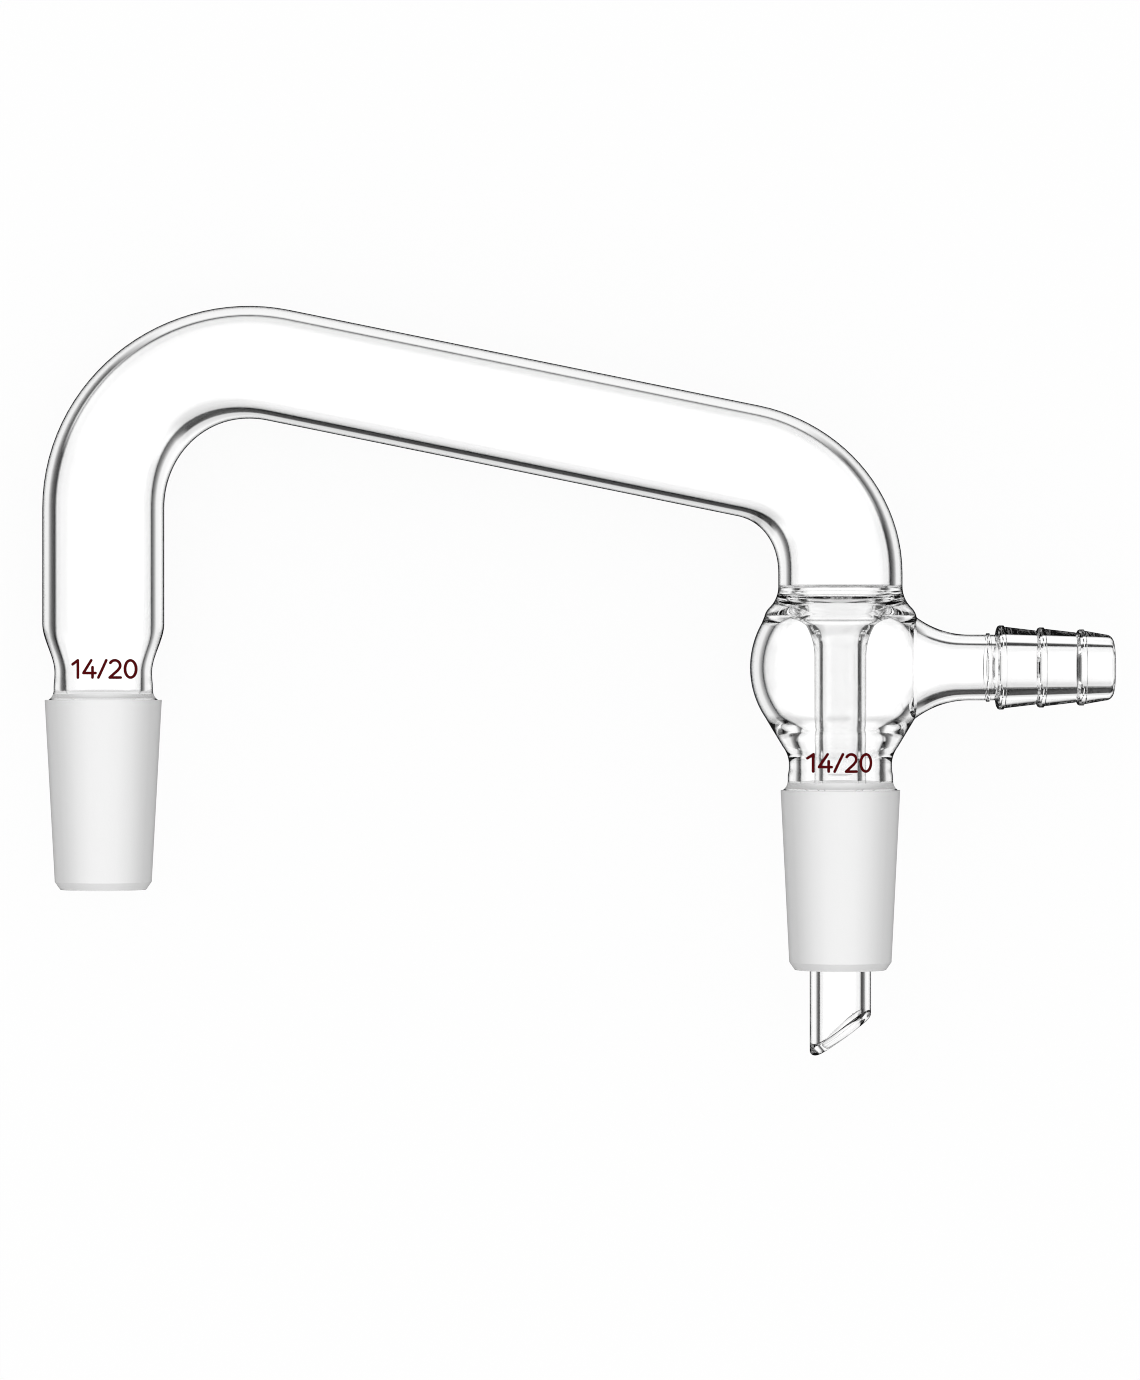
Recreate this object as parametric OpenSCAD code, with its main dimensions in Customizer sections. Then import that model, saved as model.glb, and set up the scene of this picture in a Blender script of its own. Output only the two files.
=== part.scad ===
// Vacuum take-off adapter: one piece of borosilicate glass, worked from tubing.
// It is drawn as it stands in use, with X from the inlet leg to the outlet leg and Z up, and the
// centre of the bulb as zero. The last step lays it down on its back, as it comes to rest.

/* [Main tube] */
// Outside diameter of the main tube
tube_d = 14.5; // [13.6:0.1:15.5]
// Wall of the main tube
tube_wall = 1.3; // [0.9:0.1:1.8]
// Distance between the axes of the two legs
leg_spacing = 91; // [70:1:130]
// Fall of the sloping span, in degrees below level
span_fall = 11.5; // [5:0.5:20]
// Centre-line radius of the bend over the inlet leg
inlet_bend_r = 18; // [14:0.1:22]
// Centre-line radius of the bend over the bulb
outlet_bend_r = 14.2; // [12:0.1:20]

/* [Bulb and ring seal] */
// Outside diameter of the bulb
bulb_d = 22.1; // [21:0.1:26]
// Wall of the bulb
bulb_wall = 1.45; // [1.2:0.05:1.8]
// Outside diameter of the tube where the ring seal joins it to the bulb
seal_d = 15.4; // [15.1:0.1:16]
// Radius of the groove between the tube and the bulb
seal_groove_r = 1.2; // [0.8:0.1:2]
// Height of the glass in the ring seal, from that groove down to the ceiling of the bulb
seal_h = 1.2; // [0.9:0.1:2]
// Diameter of the throat inside the ring seal
throat_d = 10.6; // [9.6:0.1:11]
// Length of tube between the groove and the bend above it
riser_l = 3.2; // [1.2:0.1:8]

/* [Inner drip tube] */
// Bore of the drip tube
drip_bore = 4.6; // [3.6:0.1:5]
// Wall of the drip tube inside the bulb
drip_wall = 0.9; // [0.7:0.1:1.1]
// Wall of the drip tube where it leaves the joint
tip_wall = 1.45; // [1:0.05:1.7]
// Height of the funnel between the ceiling of the bulb and the drip tube
funnel_h = 4.7; // [3.8:0.1:4.9]
// Radius of the curve of the funnel's outside
funnel_r = 5.1; // [5:0.1:6]
// Length of the drip tube's long side below the end of the outlet joint
tip_l = 10.7; // [8:0.1:20]
// Slope of the cut end of the drip tube, in degrees
tip_slope = 35; // [20:1:45]

/* [Ground joints] */
// Diameter of each ground cone at its large end
joint_d = 14.5; // [14:0.1:15]
// Change of diameter for each millimetre along a cone
joint_taper = 0.1; // [0.08:0.01:0.12]
// Length of the inlet's cone, with its end chamfer
inlet_joint_l = 23.4; // [18:0.1:30]
// Length of the outlet's cone, with its end chamfer
outlet_joint_l = 22.2; // [18:0.1:30]
// Chamfer at the small end of each cone
joint_chamfer = 0.65; // [0.3:0.05:0.9]
// Height of the slope between a neck and its cone
joint_lip_h = 0.9; // [0.6:0.1:1.4]

/* [Necks] */
// Outside diameter of the inlet's neck
inlet_neck_d = 12.2; // [12:0.1:12.8]
// Outside diameter of the outlet's neck
outlet_neck_d = 12.7; // [12.4:0.1:13]
// Wall of both necks and of the cones at their bore
neck_wall = 1.45; // [1.2:0.05:1.6]
// Straight length of the inlet leg between its bend and its shoulder
inlet_leg_l = 14.7; // [8:0.1:40]
// Height of the shoulder between the inlet leg and its neck
shoulder_h = 4.6; // [3.5:0.1:7]
// Height of the inlet's neck
inlet_neck_l = 3.3; // [2.5:0.1:8]
// Radius of the curve between the bulb and the outlet's neck
outlet_neck_r = 3.5; // [2.5:0.1:4.5]
// Height of the outlet's neck below that curve
outlet_neck_l = 3.4; // [2:0.1:8]

/* [Side arm and hose barb] */
// Outside diameter of the side arm at its narrowest
arm_d = 8.1; // [7.6:0.1:8.6]
// Bore of the side arm
arm_bore = 5.2; // [4:0.1:5.4]
// Radius of the curve from the inside of the bulb into that bore
arm_mouth_r = 2.6; // [1:0.1:3]
// Radius of the flare between the bulb and the side arm
arm_flare_r = 11; // [9:0.5:12]
// Straight length of the side arm between its flare and the first barb
arm_l = 2.5; // [1:0.1:15]
// Number of barbs
barb_count = 3; // [2:1:5]
// Distance from barb to barb
barb_pitch = 5; // [4:0.1:7]
// Crest diameter of the first barb
barb_first_d = 10.4; // [9.8:0.1:11]
// Crest diameter of the last barb
barb_last_d = 9.5; // [9.2:0.1:9.7]
// How much each barb falls in diameter behind its crest
barb_drop_d = 1.2; // [0.8:0.1:1.4]
// Length of the back slope of a barb
barb_back_l = 1; // [0.6:0.1:1.4]
// Length of the crest of a barb
barb_crest_l = 0.6; // [0.3:0.1:1]
// Radius of the rounded end of the side arm
arm_end_r = 0.9; // [0.5:0.1:1]

/* [Hidden] */
glass = [0.82, 0.93, 0.95, 0.45];
$fn = 96;
curve_steps = 10; // straight steps in each round stretch of a revolved outline
bite = 0.4;       // how far a part that joins another is sunk into it
slip = 0.02;      // how much thinner it is there, so that no two surfaces coincide
sink = 0.03;      // how far a fillet cuts into the ball that it meets

tube_r = tube_d / 2;
tube_bore_r = tube_r - tube_wall;
bulb_r = bulb_d / 2;
bulb_in_r = bulb_r - bulb_wall;
seal_r = seal_d / 2;
drip_r = drip_bore / 2;
stem_r = drip_r + drip_wall;
tip_r = drip_r + tip_wall;
inlet_neck_r = inlet_neck_d / 2;
inlet_bore_r = inlet_neck_r - neck_wall;
neck_out_r = outlet_neck_d / 2;
outlet_bore_r = neck_out_r - neck_wall;
arm_r = arm_d / 2;

// Heights down the outlet leg, from fillets that touch both the bulb and a straight tube.
groove_z = fillet_reach(seal_r, seal_groove_r);
riser_z = groove_z + riser_l;
ceiling_z = groove_z - seal_h;
neck_top_z = -fillet_reach(neck_out_r, outlet_neck_r);
outlet_lip_z = neck_top_z - outlet_neck_l;
outlet_end_z = outlet_lip_z - joint_lip_h - outlet_joint_l;
tip_z = outlet_end_z - tip_l;

// The funnel's outer and inner curves share one centre.
funnel_c = [stem_r + funnel_r, ceiling_z - funnel_h];
funnel_turn = asin(funnel_h / funnel_r);
funnel_in_r = funnel_r + drip_wall;
throat_turn = acos((funnel_c[0] - throat_d / 2) / funnel_in_r);
throat_z = funnel_c[1] + funnel_in_r * sin(throat_turn);

// Centres of the two bends. The span runs straight between them.
span_dir = [cos(span_fall), -sin(span_fall)];
span_up = [sin(span_fall), cos(span_fall)];
outlet_bend = [-outlet_bend_r, riser_z];
inlet_bend_z = riser_z + ((leg_spacing - inlet_bend_r - outlet_bend_r) * span_up[0]
    + outlet_bend_r - inlet_bend_r) / span_up[1];
inlet_bend = [inlet_bend_r - leg_spacing, inlet_bend_z];
span_start = inlet_bend + inlet_bend_r * span_up;
span_end = outlet_bend + outlet_bend_r * span_up;

// Heights down the inlet leg.
shoulder_z = inlet_bend_z - inlet_leg_l;
inlet_neck_z = shoulder_z - shoulder_h;
inlet_lip_z = inlet_neck_z - inlet_neck_l;
inlet_end_z = inlet_lip_z - joint_lip_h - inlet_joint_l;

// Side arm.
flare_x = fillet_reach(arm_r, arm_flare_r);
mouth_x = fillet_reach(arm_bore / 2, arm_mouth_r, bulb_in_r);
barb_x = flare_x + arm_l;
arm_end = barb_x + barb_count * barb_pitch;

// Lying on its back, the adapter touches down on the bulb and along the inlet leg.
rest_tilt = asin((bulb_r - tube_r) / leg_spacing);
end_c = [arm_end - arm_end_r, barb_last_d / 2 - barb_drop_d / 2 - arm_end_r];
box_right = end_c[0] * cos(rest_tilt) + end_c[1] * sin(rest_tilt) + arm_end_r;
box_left = -leg_spacing * cos(rest_tilt) - tube_r;
box_top = inlet_bend_z + inlet_bend_r + tube_r;
box_mid = [(box_left + box_right) / 2, (box_top + tip_z) / 2];

// Distance from the bulb's centre, along a tube of radius r, to the centre of the fillet between it
// and a ball, which is the outside of the bulb unless another radius is given.
function fillet_reach(r, fillet_r, ball_r = bulb_r) =
    sqrt(pow(ball_r + fillet_r - sink, 2) - pow(r + fillet_r, 2));

// Points of that fillet, from the ball to the tube.
function fillet(r, fillet_r, reach) =
    arc([r + fillet_r, reach], fillet_r, 180 + atan(reach / (r + fillet_r)), 180);

// Points of a round stretch about c, from one angle to another.
function arc(c, r, from, to) = [for (i = [0:curve_steps])
    let (a = from + (to - from) * i / curve_steps) [c[0] + r * cos(a), c[1] + r * sin(a)]];

// Points of a smooth step from a to b that leaves and arrives along the axis of the tube.
function ease(a, b) =
    let (dr = b[0] - a[0], dz = b[1] - a[1], turn = 2 * atan(abs(dr / dz)), r = dz / 2 / sin(turn),
        bow = sign(dr) * abs(r))
    concat(
        [for (i = [0:curve_steps]) let (t = turn * i / curve_steps)
            [a[0] + bow * (1 - cos(t)), a[1] + r * sin(t)]],
        [for (i = [1:curve_steps]) let (t = turn * (1 - i / curve_steps))
            [b[0] - bow * (1 - cos(t)), b[1] - r * sin(t)]]);

function reversed(list) = [for (i = [1:len(list)]) list[len(list) - i]];

function mix(a, b, t) = a + (b - a) * t;

// Turns an outline of [radius, height] points that starts and ends off the axis.
module turned(outline) {
    last = outline[len(outline) - 1];
    rotate_extrude() polygon(concat([[0, outline[0][1]]], outline, [[0, last[1]]]));
}

// The main tube's route, filled at radius r: inlet bend, sloping span, outlet bend.
module route(r) {
    rotate([90, 0, 0]) {
        translate(inlet_bend) rotate(90 - span_fall)
            rotate_extrude(angle = 90 + span_fall) translate([inlet_bend_r, 0]) circle(r);
        translate(outlet_bend)
            rotate_extrude(angle = 90 - span_fall) translate([outlet_bend_r, 0]) circle(r);
    }
    translate([span_start[0], 0, span_start[1]]) rotate([0, 90 + span_fall, 0])
        translate([0, 0, -bite]) cylinder(r = r - slip, h = norm(span_end - span_start) + 2 * bite);
}

// Outside of a ground cone and of the lip above it, as points from the neck down.
function cone_outline(neck_r, lip_z, end_z) =
    let (top_z = lip_z - joint_lip_h, top_r = joint_d / 2,
        foot_z = end_z + joint_chamfer, foot_r = top_r - (top_z - foot_z) * joint_taper / 2)
    [[neck_r, lip_z], [top_r, top_z], [foot_r, foot_z], [foot_r - joint_chamfer, end_z]];

module inlet_leg_outside() translate([-leg_spacing, 0, 0]) turned(concat(
    [[tube_r - slip, inlet_bend_z + bite]],
    ease([tube_r - slip, shoulder_z], [inlet_neck_r, inlet_neck_z]),
    cone_outline(inlet_neck_r, inlet_lip_z, inlet_end_z)));

module inlet_leg_bore() translate([-leg_spacing, 0, 0]) turned(concat(
    [[tube_bore_r - slip, inlet_bend_z + bite]],
    ease([tube_bore_r - slip, shoulder_z], [inlet_bore_r, inlet_neck_z]),
    [[inlet_bore_r, inlet_end_z - bite]]));

// Tube end above the bulb, and the groove of the ring seal.
module seal_outside() turned(concat(
    [[tube_r - slip, riser_z + bite]],
    ease([tube_r - slip, riser_z], [seal_r, groove_z]),
    reversed(fillet(seal_r, seal_groove_r, groove_z)),
    [[seal_r - bite, groove_z - 2 * seal_groove_r]]));

// Neck and ground cone below the bulb.
module outlet_outside() turned(concat(
    [[neck_out_r, neck_top_z + 2 * outlet_neck_r]],
    fillet(neck_out_r, outlet_neck_r, neck_top_z),
    cone_outline(neck_out_r, outlet_lip_z, outlet_end_z)));

// The flared side arm with its barbs, turned about its own axis.
module arm_outside() rotate([0, 90, 0]) turned(concat(
    [[arm_r, bulb_r / 2]],
    fillet(arm_r, arm_flare_r, flare_x),
    [[arm_r, barb_x]],
    [for (i = [0:barb_count - 1])
        let (x = barb_x + i * barb_pitch, crest = mix(barb_first_d, barb_last_d, i / (barb_count - 1)) / 2,
            last = i == barb_count - 1 ? arm_end_r : 0)
        each [[crest, x + barb_back_l], [crest, x + barb_back_l + barb_crest_l],
            [crest - barb_drop_d / 2, x + barb_pitch - last]]],
    arc([end_c[1], end_c[0]], arm_end_r, 0, 90)));

// The space that vacuum is drawn from: the inside of the bulb, the outlet joint and the side arm.
module vacuum_space() {
    intersection() {
        sphere(bulb_in_r);
        translate([0, 0, ceiling_z - 2 * bulb_r]) cylinder(r = bulb_r, h = 2 * bulb_r);
    }
    translate([0, 0, outlet_end_z - bite]) cylinder(r = outlet_bore_r, h = -outlet_end_z);
    rotate([0, 90, 0]) turned(concat(
        [[arm_bore / 2, bulb_in_r / 2]],
        fillet(arm_bore / 2, arm_mouth_r, mouth_x),
        [[arm_bore / 2, arm_end + bite]]));
}

// The funnel and the drip tube that hang inside the bulb and pass through the outlet joint.
module drip_outside() difference() {
    turned(concat(
        [[seal_r - bite, ceiling_z + bite], [seal_r - bite, ceiling_z]],
        arc(funnel_c, funnel_r, 180 - funnel_turn, 180),
        [[stem_r, outlet_lip_z], [tip_r, outlet_end_z + 4 * joint_chamfer], [tip_r, tip_z]]));
    translate([-tip_r, 0, tip_z]) rotate([0, -tip_slope, 0])
        translate([-tip_l, -tip_l, -2 * tip_l]) cube([4 * tip_l, 2 * tip_l, 2 * tip_l]);
}

// What flows from the span into the receiver: the throat, the funnel and the drip tube's bore.
module drip_passage() turned(concat(
    [[tube_bore_r - slip, riser_z + bite]],
    ease([tube_bore_r - slip, riser_z], [throat_d / 2, throat_z]),
    arc(funnel_c, funnel_in_r, 180 - throat_turn, 180),
    [[drip_r, tip_z - bite]]));

module glass_body() color(glass) difference() {
    union() {
        difference() {
            union() {
                route(tube_r);
                inlet_leg_outside();
                seal_outside();
                sphere(bulb_r);
                outlet_outside();
                arm_outside();
            }
            vacuum_space();
        }
        drip_outside();
    }
    route(tube_bore_r);
    inlet_leg_bore();
    drip_passage();
}

module at_rest() translate([-box_mid[0], -box_mid[1], bulb_r])
    rotate([0, -rest_tilt, 0]) rotate([-90, 0, 0]) children();

at_rest() glass_body();
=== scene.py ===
"""Vacuum take-off adapter: one piece of clear borosilicate glass, lying on its back on a pale table.

The glass is modelled in millimetres as it stands in use, with X from the inlet leg to the outlet
leg, Z up and the centre of the bulb as zero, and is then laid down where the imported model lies.
"""

import math
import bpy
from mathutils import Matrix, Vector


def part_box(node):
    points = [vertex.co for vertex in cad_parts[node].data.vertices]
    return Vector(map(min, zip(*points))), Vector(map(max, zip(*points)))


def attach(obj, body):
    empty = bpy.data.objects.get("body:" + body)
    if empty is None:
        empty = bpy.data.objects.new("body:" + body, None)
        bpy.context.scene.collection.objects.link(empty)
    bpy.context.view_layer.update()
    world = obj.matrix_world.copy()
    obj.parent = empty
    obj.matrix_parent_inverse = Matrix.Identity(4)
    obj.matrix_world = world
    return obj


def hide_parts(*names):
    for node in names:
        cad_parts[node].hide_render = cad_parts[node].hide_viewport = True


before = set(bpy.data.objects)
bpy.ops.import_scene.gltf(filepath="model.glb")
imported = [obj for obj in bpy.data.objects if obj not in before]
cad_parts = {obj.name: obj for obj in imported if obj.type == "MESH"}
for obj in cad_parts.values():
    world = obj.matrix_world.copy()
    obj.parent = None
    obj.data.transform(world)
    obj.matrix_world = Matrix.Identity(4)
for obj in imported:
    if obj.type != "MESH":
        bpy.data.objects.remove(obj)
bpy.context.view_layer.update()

from types import SimpleNamespace

import bpy
from mathutils import Matrix, Vector

bl_info = {
    "name": "Vacuum take-off adapter",
    "version": (1, 0, 0),
    "blender": (4, 5, 0),
    "location": "3D View > Sidebar > Glassware",
    "description": "Models a vacuum take-off adapter with two ground cones and a hose barb",
    "category": "Mesh",
}

BODY = "root"
CAD_NODE = "glass_body"
MM = 0.001  # metres in a millimetre
ROUND = 128  # edges round a tube
WELD = 0.002  # mm, distance under which two points are one
SHARP_FROM = math.radians(14)  # a fold sharper than this shows as an edge

# The forms that no size of the panel covers, in millimetres. R is the radius of a curve, and Z a
# height over the centre of the bulb.
RISER = 1.7  # straight tube between the ring seal and the bend over it
FUNNEL_TOP, FUNNEL_DROP, FUNNEL_END = 2.6, 8.6, 7.0  # below the ring seal: rim, middle of curve, foot
THROAT = ((0.05, 0.55), (0.35, 1.3), (-0.3, 2.3))  # edge, belly, foot: off its radius, below the seal
SEAL_EDGE_R = 0.2  # round edges inside the ring seal
INLET_CONE_MORE, OUTLET_CONE_MORE = -0.05, 0.12  # how far the radius of a large end is off its size
INLET_LEAN, OUTLET_LEAN = 0.055, 0.05  # how fast each cone's radius narrows
INLET_FOOT, OUTLET_FOOT = 0.1, 0.14  # how much wider the radius of each neck is at its cone
LIP_R, LIP_RISE = 1.45, 1.2  # hollow between a cone and its neck, and its middle's height there
LIP_GROUND = (0.15, 0.9)  # heights over the large end between which the lip is ground
CHAMFER_R, CHAMFER_Z = 0.62, 0.95  # chamfer at the small end of each ground cone, and its height
FOOT_R = 0.15  # round edge under the chamfer
NECK_RISE = 1.6  # from a cone's large end up to its neck
LEG_FROM_Z, LEG_FULL_Z, LEG_EVEN_Z = -0.6, 5.4, 12  # the neck widens to the leg, which is then even
NECK_TOP_Z = -12.0  # where the outlet neck widens to the bulb
GROOVE_R, GROOVE_TURN = 3.6, 46  # groove under the ring seal, and how many degrees it turns
SHOULDER_R = 2.2  # round edge between the groove and the bulb
NECK_R = 3.6  # hollow between the bulb and the outlet neck
NECK_BORE_R = 3.9  # the same inside the glass
FLARE_CROSS, MOUTH_CROSS = 0.33, 0.22  # how far the arm's flare and mouth cut into the bulb
WELD_RING, WELD_BACK = 0.18, 0.95  # weld of the barbed end: height of its ring, and before the barb
ARM_SHORT = 0.3  # how much shorter the last barb is than the others
ARM_END_R, ARM_RIM_R = 1.0, 0.75  # round outer and inner edge of the open end
ARM_NARROWS = 0.3  # how much less the radius of the arm's bore is at its open end
BARB_GAP = 0.06  # length of the step down behind a barb
INLET_SAG, OUTLET_SAG = 0.5, 0.3  # how much thicker the wall is inside each bend
LEG_THICKER, SPAN_THINNER = 0.1, 0.28  # how much thicker the legs' wall is, and thinner the span's
DRIP_THIN, DRIP_THICK = 0.6, 2.4  # over the cone's large and small end: the drip tube thickens between
BEYOND = 1  # how far a solid that cuts reaches out of the glass
FIGURES_Y = -8.5  # how far before the axis of a neck its figures are drawn
FIGURES_OFF = 0.01  # gap between the glass and its figures
GRID_X, GRID_Z = 0.21, 0.31  # from cut to cut, where the figures follow the round neck

# a barb from its foot to its crest and the groove behind it: (below the crest, along the arm)
BARB = ((0.3, 0.16), (0.09, 0.28), (0, 0.46), (0, 0.95), (0.16, 1.06))

# painted shade: how bright the ground glass's colour is painted, from facing the eye (0) to turned
# away (1)
GROUND_PAINTED_SHADE = (
    (0.0, 0.9), (0.04, 0.88), (0.08, 0.84), (0.13, 0.8), (0.2, 0.73), (0.3, 0.65), (0.42, 0.6),
    (0.65, 0.6), (1.0, 0.5),
)
GROUND_INSIDE = 0.75  # how bright the ground skin is as seen through the wall, from inside
# painted shade: between these two, the clear glass's colour is painted dark where it is seen edge on
EDGE_SHADE_FROM, EDGE_SHADE_TO = 0.68, 0.83  # how far glass is turned away where it starts to darken and is dark

# How bright the light tent is, by the angle in degrees from straight down. It is clear below,
# dark in a ring under the horizon and bright again at the horizon.
BELOW = (
    (0, 1), (9, 1), (14, 0.93), (20, 0.86), (27, 0.82), (32, 0.78), (37, 0.48), (42, 0.25),
    (47, 0.11), (52, 0.04),
)
HORIZON = ((79, 0.02), (83, 0.5), (86, 0.9), (92, 1))
ABOVE = ((112, 0.8), (126, 0.02), (180, 0))
BESIDE = (*BELOW, (57, 0), (66, 0), *HORIZON, *ABOVE)
CORNER = (*BELOW, (60, 0.8), (90, 1), *ABOVE)
BEHIND = (
    (0, 1), (7, 0.98), (11, 0.87), (15, 0.76), (20, 0.67), (29, 0.6), (32, 0.2), (34, 0.02),
    (38, 0), (66, 0), *HORIZON, *ABOVE,
)
AHEAD = ((0, 1), (8, 1), (20, 0.87), (49, 0.85), (54, 0.5), (58, 0.02), (66, 0), *HORIZON, *ABOVE)
MIRRORED = ((0, 0.01), (72, 0.04), (82, 0.85), (98, 0.85), (110, 0.12))
PLAIN = 0.92  # the tent as the camera and matt surfaces see it
TENT_LIGHT, TABLE_LIGHT = 1.2, 0.94  # strength of the tent and of the lit table

# Where one part of the tent passes into another: the corners by the sine of twice the bearing,
# the sides behind and ahead by the bearing in degrees.
CORNER_AT, BEHIND_AT, AHEAD_AT = (0.55, 0.8), (132, 150), (30, 48)

LENS = 131  # mm
SEEN, AWAY = (-33.38, -2.78), 620  # mm, the upright (X, Z) that the camera looks at, and its distance


# ---------------------------------------------------------------- sizes and colours


def length(name, mm, text):
    """A length that the user can change, given here in millimetres."""
    return bpy.props.FloatProperty(
        name=name, description=text, default=mm * MM, precision=5, unit="LENGTH"
    )


def angle(name, degrees, text):
    """An angle that the user can change, given here in degrees."""
    return bpy.props.FloatProperty(
        name=name, description=text, default=math.radians(degrees), subtype="ANGLE", unit="ROTATION"
    )


def colour(name, hex_value, text):
    """A colour that the user can change, given here as an sRGB hex value."""
    return bpy.props.FloatVectorProperty(
        name=name, description=text, default=linear(hex_value), size=3, min=0, max=1, subtype="COLOR"
    )


def linear(hex_value):
    """Linear red, green and blue of an sRGB hex value such as "8a1a22"."""
    parts = [int(hex_value[i : i + 2], 16) / 255 for i in (0, 2, 4)]
    return [c / 12.92 if c <= 0.04045 else ((c + 0.055) / 1.055) ** 2.4 for c in parts]


class GlassSizes(bpy.types.PropertyGroup):
    leg_d: length("Leg diameter", 15.0, "Outside diameter of the inlet leg")
    span_d: length("Span diameter", 13.9, "Outside diameter of the sloping span")
    tube_wall: length("Tube wall", 1.4, "Wall of the main tube")
    leg_spacing: length("Leg spacing", 91, "Distance between the axes of the two legs")
    span_fall: angle("Span fall", 11.5, "Fall of the sloping span below level")
    inlet_bend_r: length("Inlet bend radius", 18, "Centre-line radius of the bend over the inlet leg")
    outlet_bend_r: length("Outlet bend radius", 14.2, "Centre-line radius of the bend over the bulb")
    bulb_d: length("Bulb diameter", 22.3, "Outside diameter of the bulb")
    bulb_wall: length("Bulb wall", 1.5, "Wall of the bulb")
    seal_d: length("Seal diameter", 15.4, "Outside diameter of the tube at the ring seal")
    seal_top: length("Seal height", 9.9, "Height of the ring seal above the bulb's centre")
    throat_d: length("Throat diameter", 10.2, "Diameter of the throat inside the ring seal")
    funnel_r: length("Funnel radius", 7.7, "Radius of the curve of the funnel's outside")
    drip_bore: length("Drip tube bore", 4.5, "Bore of the drip tube")
    tip_bore: length("Tip bore", 5.2, "Bore of the drip tube at its tip")
    stem_d: length("Drip tube diameter", 6.4, "Outside diameter of the drip tube in the bulb")
    tip_d: length("Drip tip diameter", 7.55, "Outside diameter of the drip tube below the joint")
    tip_rim: length("Tip rim", 1.36, "Thickness of the fire-polished rim of the drip tip")
    tip_drop: length("Drip tip", 47.9, "Depth of the drip tip below the bulb's centre")
    tip_slope: angle("Tip slope", 36, "Slope of the cut end of the drip tube")
    cone_d: length("Cone diameter", 14.5, "Diameter of each ground cone at its large end")
    neck_wall: length("Neck wall", 1.35, "Wall of the necks")
    inlet_neck_d: length("Inlet neck", 12.0, "Outside diameter of the inlet's neck")
    outlet_neck_d: length("Outlet neck", 12.7, "Outside diameter of the outlet's neck")
    inlet_top: length("Inlet cone top", 4.0, "Depth of the inlet cone's large end below zero")
    inlet_end: length("Inlet cone end", 27.4, "Depth of the inlet cone's small end below zero")
    outlet_top: length("Outlet cone top", 15.15, "Depth of the outlet cone's large end below zero")
    outlet_end: length("Outlet cone end", 37.3, "Depth of the outlet cone's small end below zero")
    arm_d: length("Side arm diameter", 8.1, "Outside diameter of the side arm at its narrowest")
    arm_bore: length("Side arm bore", 5.7, "Bore of the side arm")
    arm_flare_r: length("Flare radius", 11, "Radius of the flare between the bulb and the side arm")
    arm_mouth_r: length("Side arm mouth", 10, "Radius of the curve from the bulb into the arm's bore")
    barb_x: length("First barb", 19.15, "Distance of the first barb from the bulb's centre")
    barb_pitch: length("Barb pitch", 4.95, "Distance from barb to barb")
    barb_first_d: length("First barb diameter", 10.4, "Crest diameter of the first barb")
    barb_last_d: length("Last barb diameter", 9.4, "Crest diameter of the last barb")
    barb_drop: length("Barb drop", 0.62, "How far each barb falls behind its crest")
    barb_count: bpy.props.IntProperty(name="Barbs", description="Number of barbs", default=3, min=2)


class MarkSizes(bpy.types.PropertyGroup):
    height: length("Height", 2.45, "Height of the figures")
    stroke: length("Stroke", 0.34, "Width of the strokes")
    depth: length("Thickness", 0.03, "Thickness of the fired enamel")
    inlet_z: length("Inlet mark", 0.2, "Depth of the inlet mark's middle below zero")
    inlet_aside: length("Inlet mark aside", 0.7, "How far right of the neck's front the inlet mark is")
    outlet_z: length("Outlet mark", 11.7, "Depth of the outlet mark's middle below zero")
    outlet_aside: length("Outlet mark aside", -0.3, "The same for the outlet mark, here to the left")


class Finishes(bpy.types.PropertyGroup):
    glass: colour("Glass", "ffffff", "Body colour of the clear glass")
    # painted shade: the clear glass's colour is painted this dark where it is seen edge on, to draw
    # dark edge lines
    edge: colour("Glass edge", "101214", "Colour of the clear glass where it is seen edge on")
    ground: colour("Ground glass", "fbfbfb", "Colour of the ground cones")
    enamel: colour("Enamel", "560306", "Colour of the fired size marks")
    floor: colour("Table", "ffffff", "Colour of the pale table")


def in_mm(group):
    """The values of a group, with its lengths in millimetres."""
    found = {}
    for key, prop in group.bl_rna.properties.items():
        if key not in ("rna_type", "name"):
            value = getattr(group, key)
            found[key] = value / MM if getattr(prop, "unit", "") == "LENGTH" else value
    return SimpleNamespace(**found)


# ---------------------------------------------------------------- outlines


def arc(centre, radius, start, end, step=4):
    """Points of a round stretch, from one angle in degrees to another."""
    count = max(2, round(abs(end - start) / step))
    turns = [math.radians(start + (end - start) * i / count) for i in range(count + 1)]
    return [(centre[0] + radius * math.cos(t), centre[1] + radius * math.sin(t)) for t in turns]


def ease(a, b, count=16):
    """Points of a smooth step from a to b that leaves and arrives along the tube."""
    points = []
    for i in range(count + 1):
        t = i / count
        share = t * t * (3 - 2 * t)
        points.append((a[0] + (b[0] - a[0]) * share, a[1] + (b[1] - a[1]) * t))
    return points


def mix(a, b, share):
    return a + (b - a) * share


def smooth(share):
    share = min(1, max(0, share))
    return share * share * (3 - 2 * share)


# ---------------------------------------------------------------- modelling in the workshop


def nothing_selected():
    if bpy.context.mode != "OBJECT":
        bpy.ops.object.mode_set(mode="OBJECT")
    bpy.ops.object.select_all(action="DESELECT")


def only(piece):
    nothing_selected()
    piece.select_set(True)
    bpy.context.view_layer.objects.active = piece


def close_up(name):
    """Merges the doubles of the mesh in edit mode, turns its faces outwards and names the solid."""
    bpy.ops.mesh.select_all(action="SELECT")
    bpy.ops.mesh.remove_doubles(threshold=WELD)
    bpy.ops.mesh.normals_make_consistent(inside=False)
    bpy.ops.object.mode_set(mode="OBJECT")
    piece = bpy.context.object
    piece.name = piece.data.name = name
    return piece


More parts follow.
